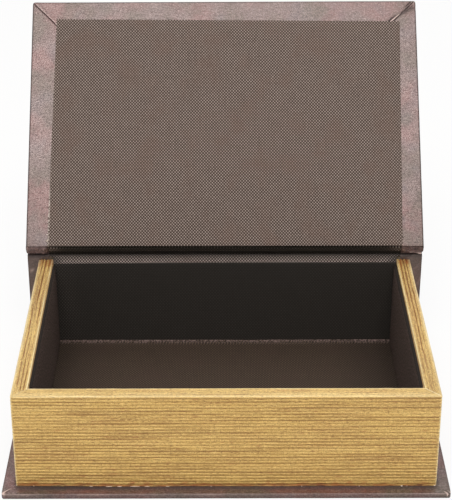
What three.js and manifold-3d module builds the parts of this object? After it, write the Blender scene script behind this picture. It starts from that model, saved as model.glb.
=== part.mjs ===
// A box made to look like a thick book, with its lid standing open. A leather-covered base, spine
// and lid close around a block of imitation pages, and the block is a lined compartment inside.
// Millimetres: X runs across the book, Y from its front to its spine, Z up.
// The origin is the centre of the base's underside.

import * as THREE from 'three';
import { mergeVertices } from 'three/addons/utils/BufferGeometryUtils.js';
import Module from 'manifold-3d';

const wasm = await Module();
wasm.setup();

// The book from outside
const coverWidth = 240;       // base, spine and lid, end to end
const pageWidth = 225;        // across the outside of the page edges
const pageDepth = 154;        // from the front page edge back to the spine
const pageHeight = 56;        // from the top of the base up to the rim
const frontSquare = 8.5;      // how far the base and lid reach out past the front page edge
const jointWidth = 7.2;       // from the fold beside a board to the outside of the spine

// The compartment's walls
const rimWidth = 8.4;         // a front or side wall with its page edge, seen from above
const backWidth = 5.9;        // the lined back wall, seen from above
const backRise = 0.3;         // the lined back wall stands this much above the rim
const pageEdge = 0.8;         // thickness of the moulded page-edge strip
const ridgePitch = 2;         // from one page ridge to the next
const ridgeDepth = 0.25;

// The covers
const board = 1.6;
const boardRound = 0.4;       // the softened edge of a cut board
const boardCorner = 1.4;      // the same at its corners, seen from above
const leather = 0.4;
const turnIn = 16;            // leather folded over onto the inside of a board
const grooveDepth = 0.6;      // how far the joint dips between a board and the spine

// The linings
const cloth = 0.4;
const floorCard = 0.5;
const sideCard = 2;           // padded card on the front and side walls
const cardDrop = 1;           // the cards end this much below the rim
const lidClothSide = 12.75;   // leather left bare beside the lid's cloth, at the joint
const lidClothFront = 12.2;   // and along the middle of its front edge
const lidClothLean = 0.95;    // the cloth was stuck on slightly turned: its sides, in degrees
const lidClothSlope = 0.4;    // and its front edge, in degrees

// Fits
const glueLine = 0.2;         // between any two pieces that are stuck together
const mitreGap = 0.2;         // between two page edges at a front corner
const foldGap = 0.6;          // from a fold line to the stiff part beside it
const closedGap = 0.3;        // under the closed lid and under the closed joint

// How the lid stands, in degrees from closed
const lidAngle = 131.5;       // lid and joint together
const jointAngle = 47;        // the joint's share

// Sizes that follow
const stackedSheet = leather + glueLine;
const coverThickness = board + 2 * stackedSheet;
const bookDepth = frontSquare + pageDepth + coverThickness;
const frontEdge = -bookDepth / 2;
const spineOutside = bookDepth / 2;
const spineInside = spineOutside - coverThickness;
const pageFront = frontEdge + frontSquare;
const rim = coverThickness + pageHeight;
const wallFoot = coverThickness + glueLine;
const insideFront = pageFront + rimWidth;
const insideBack = spineInside - backWidth;
const insideHalf = pageWidth / 2 - rimWidth;
const pageEnd = spineInside - glueLine;
const floorTop = wallFoot + floorCard;

const clothStack = cloth + glueLine;
const backTop = rim + backRise;
const closedTop = backTop + closedGap + clothStack + coverThickness;
const foldHeight = closedTop - leather / 2;
const lowFoldHeight = leather / 2;
const spineFold = spineOutside - leather / 2;
const coverFold = spineOutside - jointWidth;
const jointSpan = spineFold - coverFold;
const coverLength = coverFold - frontEdge;
const jointBelowFold = leather / 2 + clothStack;
const spineTop = foldHeight - jointBelowFold - closedGap;
const spineFoot = lowFoldHeight + jointBelowFold + closedGap;
const cardTop = rim - cardDrop;

// Finishes
const finish = {
  leather: { color: 0x6b5c5a, roughness: 0.55, metalness: 0 },
  board: { color: 0x8f8678, roughness: 0.95, metalness: 0 },
  wood: { color: 0xb08a5a, roughness: 0.8, metalness: 0 },
  pages: { color: 0xc8a55a, roughness: 0.5, metalness: 0.15 },
  cloth: { color: 0x5e4c44, roughness: 0.85, metalness: 0 },
  darkCloth: { color: 0x2b2421, roughness: 0.9, metalness: 0 },
};

const radians = THREE.MathUtils.degToRad;

// A closed geometry as a solid that can be joined and cut
function solidOf(geometry) {
  const bare = geometry.clone();
  bare.deleteAttribute('normal');
  bare.deleteAttribute('uv');
  const merged = mergeVertices(bare, 1e-4);
  return new wasm.Manifold(new wasm.Mesh({
    numProp: 3,
    vertProperties: new Float32Array(merged.attributes.position.array),
    triVerts: new Uint32Array(merged.index.array),
  }));
}

function geometryOf(solid) {
  const mesh = solid.getMesh();
  const geometry = new THREE.BufferGeometry();
  geometry.setAttribute('position', new THREE.BufferAttribute(mesh.vertProperties, 3));
  geometry.setIndex(new THREE.BufferAttribute(mesh.triVerts, 1));
  geometry.computeVertexNormals();
  return geometry;
}

function joined(geometries) {
  const solids = geometries.map(solidOf);
  return geometryOf(solids.reduce((whole, solid) => whole.add(solid)));
}

function cut(geometry, tools) {
  const solids = tools.map(solidOf);
  return geometryOf(solids.reduce((rest, tool) => rest.subtract(tool), solidOf(geometry)));
}

// A block between two corners
function block([x0, y0, z0], [x1, y1, z1]) {
  const geometry = new THREE.BoxGeometry(x1 - x0, y1 - y0, z1 - z0);
  return geometry.translate((x0 + x1) / 2, (y0 + y1) / 2, (z0 + z1) / 2);
}

// An outline in Y and Z carried along X, centred on the book's middle
function alongX(outline, length) {
  const shape = new THREE.Shape(outline.map(([y, z]) => new THREE.Vector2(y, z)));
  const geometry = new THREE.ExtrudeGeometry(shape, { depth: length, bevelEnabled: false });
  geometry.applyMatrix4(new THREE.Matrix4().makeBasis(
    new THREE.Vector3(0, 1, 0),
    new THREE.Vector3(0, 0, 1),
    new THREE.Vector3(1, 0, 0),
  ));
  return geometry.translate(-length / 2, 0, 0);
}

// Covers. A cover lies with its outside up at height 0, its joint edge at Y = 0 and its front edge
// at Y = -length, and is turned into place afterwards.

// The cover's outer form drawn in by an inset. It runs on past each edge that a joint meets.
function coverSlab(length, inset, bareFront) {
  const overrun = 2 * coverThickness;
  const round = boardRound + stackedSheet - inset;
  const corner = boardCorner + stackedSheet - inset;
  const half = coverWidth / 2 - inset;
  const front = bareFront ? -length - overrun : -length + inset;
  const outline = new THREE.Shape();
  outline.moveTo(-half + corner, front);
  outline.lineTo(half - corner, front);
  outline.absarc(half - corner, front + corner, corner, -Math.PI / 2, 0, false);
  outline.lineTo(half, overrun - corner);
  outline.absarc(half - corner, overrun - corner, corner, 0, Math.PI / 2, false);
  outline.lineTo(-half + corner, overrun);
  outline.absarc(-half + corner, overrun - corner, corner, Math.PI / 2, Math.PI, false);
  outline.lineTo(-half, front + corner);
  outline.absarc(-half + corner, front + corner, corner, Math.PI, Math.PI * 1.5, false);
  const geometry = new THREE.ExtrudeGeometry(outline, {
    depth: coverThickness - 2 * inset - 2 * round,
    bevelThickness: round,
    bevelSize: round,
    bevelOffset: -round,
    bevelSegments: 3,
    curveSegments: 4,
  });
  return geometry.translate(0, 0, -coverThickness + inset + round);
}

// The slab with its straight edges cut this far inside the fold lines
function trimmedSlab(length, inset, bareFront, margin) {
  const reach = coverWidth;
  const ends = [block([-reach, -margin, -reach], [reach, reach, reach])];
  if (bareFront) {
    ends.push(block([-reach, -length - reach, -reach], [reach, -length + margin, reach]));
  }
  return cut(coverSlab(length, inset, bareFront), ends);
}

function coverBoard(length, bareFront) {
  return trimmedSlab(length, stackedSheet, bareFront, foldGap + stackedSheet);
}

// The leather wraps round the board's ends and front. At a joint it runs on flat, so only its two
// folded ends pass over the board's edge there, and the middle is left open to the lining.
function coverLeather(length, bareFront) {
  const outside = trimmedSlab(length, 0, bareFront, foldGap);
  const pocket = trimmedSlab(length, leather, bareFront, foldGap + leather);
  const half = coverWidth / 2 - turnIn;
  const windowFront = bareFront ? -length - 1 : -length + turnIn;
  const window = block([-half, windowFront, -2 * coverThickness], [half, 1, -leather]);
  return cut(outside, [pocket, window]);
}

// A flat cover turned over, for the base
function turnedOver(geometry) {
  return geometry.rotateY(Math.PI);
}

// A flat cover stood up with its outside facing back, for the spine
function stoodUp(geometry) {
  return geometry.rotateX(Math.PI / 2).rotateZ(Math.PI);
}

// Joints. A joint lies flat like a closed cover, with its spine fold at Y = 0 and the middle of
// its leather at height 0.

function jointHeight(y) {
  const start = -coverThickness;
  const end = -jointSpan + foldGap;
  const share = THREE.MathUtils.clamp((y - start) / (end - start), 0, 1);
  return -grooveDepth * Math.sin(Math.PI * share) ** 2;
}

function jointSheet(width, above, below) {
  const steps = 12;
  const start = -foldGap;
  const end = -jointSpan + foldGap;
  const line = Array.from({ length: steps + 1 }, (_, i) => start + ((end - start) * i) / steps);
  const upper = line.map((y) => [y, jointHeight(y) + above]);
  const lower = line.map((y) => [y, jointHeight(y) + below]).reverse();
  return alongX([...upper, ...lower], width);
}

function jointLeather() {
  const foldedEnd = jointSheet(turnIn, 0, -1.5 * leather);
  const reach = (coverWidth - turnIn) / 2;
  return joined([
    jointSheet(coverWidth, leather / 2, -leather / 2),
    foldedEnd.clone().translate(-reach, 0, 0),
    foldedEnd.clone().translate(reach, 0, 0),
  ]);
}

function jointLining() {
  const top = -leather / 2 - glueLine;
  return jointSheet(coverWidth - 2 * turnIn - 2 * glueLine, top, top - cloth);
}

// Page edges. Each strip covers a wall's outer face and its top, and its ridges run lengthwise.

// Points down one ridged face: the distance from the face, and the way along it
function ridges(from, to) {
  const count = Math.max(1, Math.round(Math.abs(to - from) / ridgePitch));
  const step = (to - from) / count;
  const points = [];
  for (let i = 0; i < count; i += 1) {
    points.push([ridgeDepth, from + step * i], [0, from + step * (i + 0.25)]);
    points.push([0, from + step * (i + 0.75)]);
  }
  return points;
}

function pageEdgeStrip(length, mitredStart, mitredEnd) {
  const face = ridges(wallFoot, rim - ridgeDepth);
  const top = ridges(ridgeDepth, rimWidth).map(([drop, across]) => [across, rim - drop]);
  const outline = [
    ...face,
    ...top,
    [rimWidth, rim - ridgeDepth],
    [rimWidth, rim - pageEdge],
    [pageEdge, rim - pageEdge],
    [pageEdge, wallFoot],
  ];
  const shape = new THREE.Shape(outline.map(([d, z]) => new THREE.Vector2(d, z)));
  const geometry = new THREE.ExtrudeGeometry(shape, { depth: length, bevelEnabled: false });
  const position = geometry.attributes.position;
  for (let i = 0; i < position.count; i += 1) {
    const atStart = position.getZ(i) < length / 2;
    const slant = position.getX(i) + mitreGap / Math.SQRT2;
    if (atStart && mitredStart) position.setZ(i, slant);
    if (!atStart && mitredEnd) position.setZ(i, length - slant);
  }
  return geometry;
}

function placedStrip(geometry, inward, along, start) {
  const up = new THREE.Vector3(0, 0, 1);
  geometry.applyMatrix4(new THREE.Matrix4().makeBasis(inward, up, along));
  return geometry.translate(start.x, start.y, 0);
}

function frontPageEdge() {
  const corner = { x: -pageWidth / 2, y: pageFront };
  const inward = new THREE.Vector3(0, 1, 0);
  const along = new THREE.Vector3(1, 0, 0);
  return placedStrip(pageEdgeStrip(pageWidth, true, true), inward, along, corner);
}

function rightPageEdge() {
  const corner = { x: pageWidth / 2, y: pageFront };
  const inward = new THREE.Vector3(-1, 0, 0);
  const along = new THREE.Vector3(0, 1, 0);
  return placedStrip(pageEdgeStrip(pageEnd - pageFront, true, false), inward, along, corner);
}

function leftPageEdge() {
  const corner = { x: -pageWidth / 2, y: pageEnd };
  const inward = new THREE.Vector3(1, 0, 0);
  const along = new THREE.Vector3(0, -1, 0);
  return placedStrip(pageEdgeStrip(pageEnd - pageFront, false, true), inward, along, corner);
}

// Walls under the page edges

const wallSkin = pageEdge + glueLine;
const wallTop = rim - wallSkin;
const backWallTop = backTop - clothStack;

function frontWall() {
  const half = pageWidth / 2 - wallSkin;
  return block([-half, pageFront + wallSkin, wallFoot], [half, insideFront, wallTop]);
}

function sideWall(side) {
  const inner = insideHalf;
  const outer = pageWidth / 2 - wallSkin;
  const front = insideFront + glueLine;
  return side < 0
    ? block([-outer, front, wallFoot], [-inner, pageEnd, wallTop])
    : block([inner, front, wallFoot], [outer, pageEnd, wallTop]);
}

function backWall() {
  const half = insideHalf - glueLine;
  return block([-half, insideBack + clothStack, wallFoot], [half, pageEnd, backWallTop]);
}

// Linings of the compartment

const cardBack = insideBack - glueLine;
const cardFoot = floorTop + glueLine;
const cardHalf = insideHalf - glueLine;
const cardFront = insideFront + glueLine;

function floorLining() {
  return block([-cardHalf, cardFront, wallFoot], [cardHalf, cardBack, floorTop]);
}

function frontLining() {
  return block([-cardHalf, cardFront, cardFoot], [cardHalf, cardFront + sideCard, cardTop]);
}

function sideLining(side) {
  const front = cardFront + sideCard + glueLine;
  return side < 0
    ? block([-cardHalf, front, cardFoot], [-cardHalf + sideCard, cardBack, cardTop])
    : block([cardHalf - sideCard, front, cardFoot], [cardHalf, cardBack, cardTop]);
}

// One cloth up the inside of the back wall, over its top, up the spine and over the spine's edge
function backLining() {
  const spineFace = spineInside - glueLine;
  const overSpine = spineOutside - stackedSheet;
  const outline = [
    [insideBack, cardFoot],
    [insideBack + cloth, cardFoot],
    [insideBack + cloth, backTop - cloth],
    [spineFace, backTop - cloth],
    [spineFace, spineTop - cloth],
    [overSpine, spineTop - cloth],
    [overSpine, spineTop],
    [spineFace - cloth, spineTop],
    [spineFace - cloth, backTop],
    [insideBack, backTop],
  ];
  return alongX(outline, 2 * cardHalf);
}

// The lid's cloth: a slightly turned rectangle cut off along the joint, and its fold over the edge
function lidLining() {
  const upper = -coverThickness - glueLine;
  const sideShift = Math.tan(radians(lidClothLean));
  const slope = Math.tan(radians(lidClothSlope));
  const halfWidth = coverWidth / 2 - lidClothSide;
  const depth = coverLength - lidClothFront;
  const frontCorner = (x) => {
    const shifted = x + depth * sideShift;
    return new THREE.Vector2(shifted, -depth + shifted * slope);
  };
  const outline = new THREE.Shape([
    new THREE.Vector2(-halfWidth, -foldGap),
    frontCorner(-halfWidth),
    frontCorner(halfWidth),
    new THREE.Vector2(halfWidth, -foldGap),
  ]);
  const sheet = new THREE.ExtrudeGeometry(outline, { depth: cloth, bevelEnabled: false });
  sheet.translate(0, 0, upper - cloth);
  const foldHalf = coverWidth / 2 - turnIn - glueLine;
  const fold = block([-foldHalf, -foldGap - cloth, upper - cloth], [foldHalf, -foldGap, -stackedSheet]);
  return joined([sheet, fold]);
}

// The leather of the spine: the wrapped board, and a lip towards each fold
function spineLeather() {
  const length = spineTop - spineFoot + 2 * foldGap;
  const half = coverWidth / 2;
  const wrapped = coverLeather(length, true);
  const upperLip = foldHeight - spineTop - foldGap;
  const lowerLip = spineFoot - lowFoldHeight - foldGap;
  const lips = [
    block([-half, -2 * foldGap, -leather], [half, upperLip - foldGap, 0]),
    block([-half, -length + foldGap - lowerLip, -leather], [half, -length + 2 * foldGap, 0]),
  ];
  return stoodUp(joined([wrapped, ...lips])).translate(0, spineOutside, spineTop + foldGap);
}

function spineBoard() {
  const length = spineTop - spineFoot + 2 * foldGap;
  return stoodUp(coverBoard(length, true)).translate(0, spineOutside, spineTop + foldGap);
}

// Assembly

function piece(name, geometry, look) {
  const mesh = new THREE.Mesh(geometry, new THREE.MeshStandardMaterial(look));
  mesh.name = name;
  return mesh;
}

function basePieces() {
  const boardGeometry = turnedOver(coverBoard(coverLength, false)).translate(0, coverFold, 0);
  const leatherGeometry = turnedOver(coverLeather(coverLength, false)).translate(0, coverFold, 0);
  const jointGeometry = turnedOver(jointLeather()).translate(0, spineFold, lowFoldHeight);
  return [
    piece('base_board', boardGeometry, finish.board),
    piece('base_leather', leatherGeometry, finish.leather),
    piece('base_joint_leather', jointGeometry, finish.leather),
  ];
}

function spinePieces() {
  return [
    piece('spine_board', spineBoard(), finish.board),
    piece('spine_leather', spineLeather(), finish.leather),
  ];
}

function wallPieces() {
  return [
    piece('front_wall', frontWall(), finish.wood),
    piece('left_wall', sideWall(-1), finish.wood),
    piece('right_wall', sideWall(1), finish.wood),
    piece('back_wall', backWall(), finish.wood),
    piece('front_page_edge', frontPageEdge(), finish.pages),
    piece('left_page_edge', leftPageEdge(), finish.pages),
    piece('right_page_edge', rightPageEdge(), finish.pages),
  ];
}

function liningPieces() {
  return [
    piece('floor_lining', floorLining(), finish.darkCloth),
    piece('front_lining', frontLining(), finish.darkCloth),
    piece('left_lining', sideLining(-1), finish.darkCloth),
    piece('right_lining', sideLining(1), finish.darkCloth),
    piece('back_lining', backLining(), finish.darkCloth),
  ];
}

// The lid hangs from the joint's far fold, and its outside is half a leather above that fold
function lidGroup() {
  const lid = new THREE.Group();
  const pieces = [
    piece('lid_board', coverBoard(coverLength, false), finish.board),
    piece('lid_leather', coverLeather(coverLength, false), finish.leather),
    piece('lid_lining', lidLining(), finish.cloth),
  ];
  pieces.forEach((mesh) => mesh.position.setZ(leather / 2));
  lid.add(...pieces);
  return lid;
}

function hingeGroup() {
  const hinge = new THREE.Group();
  hinge.add(piece('hinge_leather', jointLeather(), finish.leather));
  hinge.add(piece('hinge_lining', jointLining(), finish.cloth));
  return hinge;
}

function bookBox() {
  const book = new THREE.Group();
  book.add(...basePieces(), ...spinePieces(), ...wallPieces(), ...liningPieces());
  const hinge = hingeGroup();
  hinge.position.set(0, spineFold, foldHeight);
  hinge.rotation.x = -radians(jointAngle);
  const lid = lidGroup();
  lid.position.set(0, -jointSpan, 0);
  lid.rotation.x = -radians(lidAngle - jointAngle);
  hinge.add(lid);
  book.add(hinge);
  book.updateMatrixWorld(true);
  return book;
}

export default bookBox();
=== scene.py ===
# A box made to look like a thick book, standing open. Shapes are worked out in millimetres in the
# CAD's own frame and become metres when a piece is finished.
import math
import random

import bmesh
import bpy
from mathutils import Matrix, Vector, noise


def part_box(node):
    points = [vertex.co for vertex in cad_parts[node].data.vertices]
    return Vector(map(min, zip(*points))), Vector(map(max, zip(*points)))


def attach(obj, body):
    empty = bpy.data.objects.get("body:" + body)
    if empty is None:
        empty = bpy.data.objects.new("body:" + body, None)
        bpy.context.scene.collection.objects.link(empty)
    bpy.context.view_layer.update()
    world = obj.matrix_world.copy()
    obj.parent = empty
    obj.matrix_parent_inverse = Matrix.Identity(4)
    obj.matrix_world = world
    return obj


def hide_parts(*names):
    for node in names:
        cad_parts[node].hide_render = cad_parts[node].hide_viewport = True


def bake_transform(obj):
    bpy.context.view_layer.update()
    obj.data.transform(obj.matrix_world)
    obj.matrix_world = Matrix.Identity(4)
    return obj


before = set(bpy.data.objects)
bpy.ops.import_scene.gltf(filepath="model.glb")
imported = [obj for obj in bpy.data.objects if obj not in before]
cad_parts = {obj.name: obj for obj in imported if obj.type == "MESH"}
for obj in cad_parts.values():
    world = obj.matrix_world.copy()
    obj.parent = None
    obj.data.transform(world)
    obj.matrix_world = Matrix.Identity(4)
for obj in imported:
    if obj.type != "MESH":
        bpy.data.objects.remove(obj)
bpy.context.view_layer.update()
scene = bpy.context.scene
mm = 0.001
unmoved = Matrix.Identity(4)
print("frame loaded:", len(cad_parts), "nodes")

view = {
    "place": (-4.276, -765.998, 505.411),
    "down": 0.4801,       # radians below the horizon
    "turn": -0.0058,
    "roll": 0.0011,
    "lens": 113.12,
    "sensor": 36,
    "nearest": 0.05,      # in metres, as the next one is
    "furthest": 20,
}

studio = {
    "floor": 0.88,        # how pale the floor is
    "floorGlow": 0.87,    # share of plain white that the camera sees in it
    "floorReach": 6,      # metres each way
    "floorDrop": 0.05,    # millimetres below the book
    "sky": 0.42,          # light from all round
    "aim": (0, 0.05, 0.06),
    "keyPlace": (-0.04, -0.95, 1.75),
    "keySize": (1.08, 0.84),
    "keyPower": 27,
    "keyTint": (1.0, 0.945, 0.905),
    "fillPlace": (0.1, 0.75, 1.6),
    "fillSize": (1.6, 0.9),
    "fillPower": 8,
    "fillTint": (1.0, 0.98, 0.96),
}


def addCamera():
    lens = bpy.data.cameras.new("camera")
    lens.sensor_width, lens.sensor_fit, lens.lens = view["sensor"], "AUTO", view["lens"]
    lens.clip_start, lens.clip_end = view["nearest"], view["furthest"]
    camera = bpy.data.objects.new("camera", lens)
    scene.collection.objects.link(camera)
    facing = (
        Matrix.Rotation(view["turn"], 4, "Z")
        @ Matrix.Rotation(math.pi / 2 - view["down"], 4, "X")
        @ Matrix.Rotation(view["roll"], 4, "Z")
    )
    camera.matrix_world = Matrix.Translation(Vector(view["place"]) * mm) @ facing
    scene.camera = camera


class Channel:
    # a socket that can stand in a sum
    def __init__(self, look, socket):
        self.look, self.socket = look, socket

    def maths(self, operation, *terms):
        return self.look.add("ShaderNodeMath", {"operation": operation}, dict(enumerate(terms)))

    def __add__(self, other):
        return self.maths("ADD", self, other)

    def __mul__(self, other):
        return self.maths("MULTIPLY", self, other)

    def __rsub__(self, other):
        return self.maths("SUBTRACT", other, self)

    __radd__, __rmul__ = __add__, __mul__

    def cosine(self):
        return self.maths("COSINE", self)

    def size(self):
        return self.maths("ABSOLUTE", self)

    def larger(self, other):
        return self.maths("MAXIMUM", self, other)

    def between(self, low, high):
        # 0 at low, 1 at high, and a soft step from one to the other
        sockets = {"Value": self, "From Min": low, "From Max": high}
        return self.look.add("ShaderNodeMapRange", {"interpolation_type": "SMOOTHSTEP"}, sockets)


class Look:
    # one material or world, built node by node
    def __init__(self, owner):
        owner.use_nodes = True
        self.owner, self.tree = owner, owner.node_tree
        self.tree.nodes.clear()

    def add(self, kind, settings=None, sockets=None, output=0):
        node = self.tree.nodes.new(kind)
        for name, value in (settings or {}).items():
            setattr(node, name, value)
        for key, value in (sockets or {}).items():
            if isinstance(value, Channel):
                self.tree.links.new(value.socket, node.inputs[key])
            else:
                node.inputs[key].default_value = value
        return Channel(self, node.outputs[output]) if len(node.outputs) else None

    def mixed(self, share, first, second):
        return self.add("ShaderNodeMix", {"data_type": "RGBA"}, {0: share, 6: first, 7: second}, 2)

    def layered(self, tone, tones, layers):
        # lays the tones over the first one in turn, each where its mask says
        for share, name in layers:
            tone = self.mixed(share, tone, tones[name])
        return tone

    def noise(self, where, scale, detail, distortion=0.0):
        sockets = {"Vector": where, "Scale": scale, "Detail": detail, "Distortion": distortion}
        return self.add("ShaderNodeTexNoise", {}, sockets)

    def stretched(self, where, scale, turn=(0, 0, 0)):
        sockets = {"Vector": where, "Scale": scale, "Rotation": turn}
        return self.add("ShaderNodeMapping", {}, sockets)

    def streaks(self, where, scale, detail):
        return self.noise(self.stretched(where, scale), 1.0, detail)

    def painted(self, *names):
        # masks that the mesh carries
        return [self.add("ShaderNodeAttribute", {"attribute_name": name}, {}, 2) for name in names]

    def surface(self, sockets, height, relief, depth):
        bump = {"Height": height, "Strength": relief, "Distance": depth * mm}
        sockets["Normal"] = self.add("ShaderNodeBump", {}, bump)
        shader = self.add("ShaderNodeBsdfPrincipled", {}, sockets)
        self.add("ShaderNodeOutputMaterial", {}, {"Surface": shader})
        return self.owner


def objectSpace(look):
    return look.add("ShaderNodeTexCoord", output=3)


def paint(red, green, blue):
    # a colour as a screen shows it, 0 to 255, as the shader wants it
    def linear(level):
        level /= 255
        return level / 12.92 if level <= 0.04045 else ((level + 0.055) / 1.055) ** 2.4
    return (linear(red), linear(green), linear(blue), 1)


def addFloor():
    look = Look(bpy.data.materials.new("floor"))
    pale = (studio["floor"],) * 3 + (1,)
    matt = look.add("ShaderNodeBsdfDiffuse", {}, {"Color": pale})
    glow = look.add("ShaderNodeEmission", {}, {"Color": (1, 1, 1, 1), "Strength": 1.0})
    seen = look.add("ShaderNodeLightPath") * studio["floorGlow"]
    both = look.add("ShaderNodeMixShader", {}, {0: seen, 1: matt, 2: glow})
    look.add("ShaderNodeOutputMaterial", {}, {"Surface": both})
    bm = bmesh.new()
    bmesh.ops.create_grid(bm, x_segments=1, y_segments=1, size=studio["floorReach"])
    bmesh.ops.translate(bm, verts=bm.verts, vec=(0, 0, -studio["floorDrop"] * mm))
    mesh = bpy.data.meshes.new("floor")
    bm.to_mesh(mesh)
    bm.free()
    mesh.materials.append(look.owner)
    floor = bpy.data.objects.new("floor", mesh)
    scene.collection.objects.link(floor)


def addSky():
    world = bpy.data.worlds.new("studio")
    look = Look(world)
    path = look.add("ShaderNodeLightPath")
    mirrored = Channel(look, path.socket.node.outputs["Is Glossy Ray"])
    strength = studio["sky"] + path.larger(mirrored) * (1 - studio["sky"])
    glow = look.add("ShaderNodeBackground", {}, {"Color": (1, 1, 1, 1), "Strength": strength})
    look.add("ShaderNodeOutputWorld", {}, {"Surface": glow})
    scene.world = world


def addSoftbox(name):
    light = bpy.data.lights.new(name, "AREA")
    light.shape = "RECTANGLE"
    light.size, light.size_y = studio[name + "Size"]
    light.energy, light.color = studio[name + "Power"], studio[name + "Tint"]
    softbox = bpy.data.objects.new(name, light)
    softbox.location = studio[name + "Place"]
    aim = Vector(studio["aim"]) - softbox.location
    softbox.rotation_euler = aim.to_track_quat("-Z", "Y").to_euler()
    scene.collection.objects.link(softbox)


addCamera()
addFloor()
addSky()
addSoftbox("key")
addSoftbox("fill")
scene.view_settings.view_transform = "Standard"
print("camera, floor and lights placed")

# the sizes that several pieces share, as in the CAD
book = {
    "width": 240,
    "coverThick": 2.8,
    "coverLength": 158.1,
    "coverFold": 75.45,
    "glueLine": 0.2,
    "spineFold": 82.45,
    "spineOutside": 82.65,
    "spineTop": 61.5,
    "spineFoot": 1.3,
    "spineMargin": 0.6,   # how far the spine's leather reaches past its board at either end
    "foldHeight": 62.6,
    "jointSpan": 7.0,
    "jointTurn": 47,
    "lidTurn": 84.5,
    "pageHalf": 112.5,
    "pageFront": -74.15,
    "pageEnd": 79.65,
    "rim": 58.8,
    "rimWidth": 8.4,
}


def turned(degrees, axis):
    return Matrix.Rotation(math.radians(degrees), 4, axis)


spineLine = Vector((0, book["spineFold"], book["foldHeight"]))
toLid = Vector((0, -book["jointSpan"], 0))
stripPlace = Matrix.Translation(spineLine) @ turned(-book["jointTurn"], "X")
lidPlace = (
    stripPlace @ Matrix.Translation(toLid) @ turned(-book["lidTurn"], "X")
    @ Matrix.Translation((0, 0, book["glueLine"]))
)
basePlace = Matrix.Translation((0, book["coverFold"], 0)) @ turned(180, "Y")
spinePlace = (
    Matrix.Translation((0, book["spineOutside"], book["spineTop"] + book["spineMargin"]))
    @ turned(180, "Z") @ turned(90, "X")
)

leatherTones = {
    "ground": paint(72, 52, 49),
    "rosy": paint(100, 54, 52),
    "green": paint(66, 59, 46),
    # painted reflection: the grey cast given to the spine's leather
    "paintedReflection": paint(69, 62, 58),
    "slate": paint(70, 68, 76),
    # painted shade: the tone of the wrinkles' creases and of the folds' dark lines
    "crease": paint(30, 20, 19),
    # pale tone for rubbed specks and pores, and for painted highlights on folds and edges
    "wearAndHighlight": paint(222, 198, 190),
    # painted shade: the tone that edges, fold edges and the border beside the page block darken
    # towards
    "edge": paint(34, 27, 25),
    "wearAndLight": paint(104, 76, 74),
    "grain": 0.6,
    "gloss": 0.9,
    "glossTint": (0.99, 0.88, 0.865, 1),
    "rough": 0.3,
}


def leatherFinish():
    look = Look(bpy.data.materials.new("cover_leather"))
    where = objectSpace(look)
    handled, paintedReflection, wearAndLight, edge, paintedLightAndMottle = look.painted("handled", "paintedReflection", "wearAndLight", "edge", "paintedLightAndMottle")
    broad = look.noise(where, 34, 3)
    patch = look.noise(look.stretched(where, (1, 1, 1), (0.4, 0.2, 0.9)), 58, 3)
    slate = look.noise(look.stretched(where, (1, 1, 1), (0.9, 0.5, 0.1)), 47, 2)
    speck = look.noise(where, 1300, 1)
    pore = look.noise(where, 2300, 1)
    lean = look.stretched(where, (860, 1500, 1400), (0.5, 0.3, 0.7))
    wrinkle = look.noise(lean, 1.0, 2, 1.0)
    pebble = look.add("ShaderNodeTexVoronoi", {}, {"Vector": where, "Scale": 1200.0})
    tone = look.layered(leatherTones["ground"], leatherTones, [
        (broad.between(0.4, 0.64) * 0.8, "rosy"),
        (patch.between(0.46, 0.66) * 0.75, "green"),
        (slate.between(0.52, 0.68) * 0.38, "slate"),
        (speck.between(0.45, 0.65) * 0.14, "wearAndHighlight"),
        (pore.between(0.5, 0.68) * 0.08, "wearAndHighlight"),
        # painted shade in the wrinkles' creases
        (wrinkle.between(0.5, 0.32) * 0.54, "crease"),
        # painted reflection, greying the spine's leather
        (paintedReflection * 0.6, "paintedReflection"),
        (wearAndLight * wrinkle.between(0.25, 0.6), "wearAndLight"),
        # painted shade along the edges and beside the page block
        (edge * 0.8, "edge"),
        # painted highlight where this mask is above 0 and painted shade where it is below, with
        # random mottling on the spine and joint
        (paintedLightAndMottle.between(0.0, 1.0) * 0.8, "wearAndHighlight"),
        (paintedLightAndMottle.between(0.0, -1.0) * 0.9, "crease"),
    ])
    matt = paintedLightAndMottle.between(0.0, -1.0).larger(edge).larger(wearAndLight)
    dull = wrinkle.between(0.52, 0.3) * 0.12 + patch.between(0.4, 0.62) * 0.05 + broad * 0.04
    dull += handled * 0.08 + pore.between(0.52, 0.36) * 0.13
    sockets = {
        "Base Color": tone,
        "Roughness": leatherTones["rough"] + dull + matt * 0.45,
        "Specular IOR Level": leatherTones["gloss"],
        "Specular Tint": leatherTones["glossTint"],
    }
    height = wrinkle * 0.7 + pebble * 0.3 + pore * 0.2
    return look.surface(sockets, height, leatherTones["grain"], 0.25)


gildTones = {
    "ground": paint(206, 169, 93),
    "deep": paint(119, 82, 38),
    "light": paint(241, 208, 130),
    "brown": paint(156, 102, 58),
    "orange": paint(178, 112, 60),
    "foot": paint(98, 54, 36),
    "rim": paint(206, 176, 108),
    # painted sheen: the paler band on the outer part of the rims' tops, fullest on the front rim
    "paintedSheen": paint(229, 204, 140),
    "pale": paint(248, 236, 190),
}

pageMasks = ("groove", "ridgeHighlight", "top", "wearAndHighlight", "stain", "paintedSheen", "far")


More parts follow.
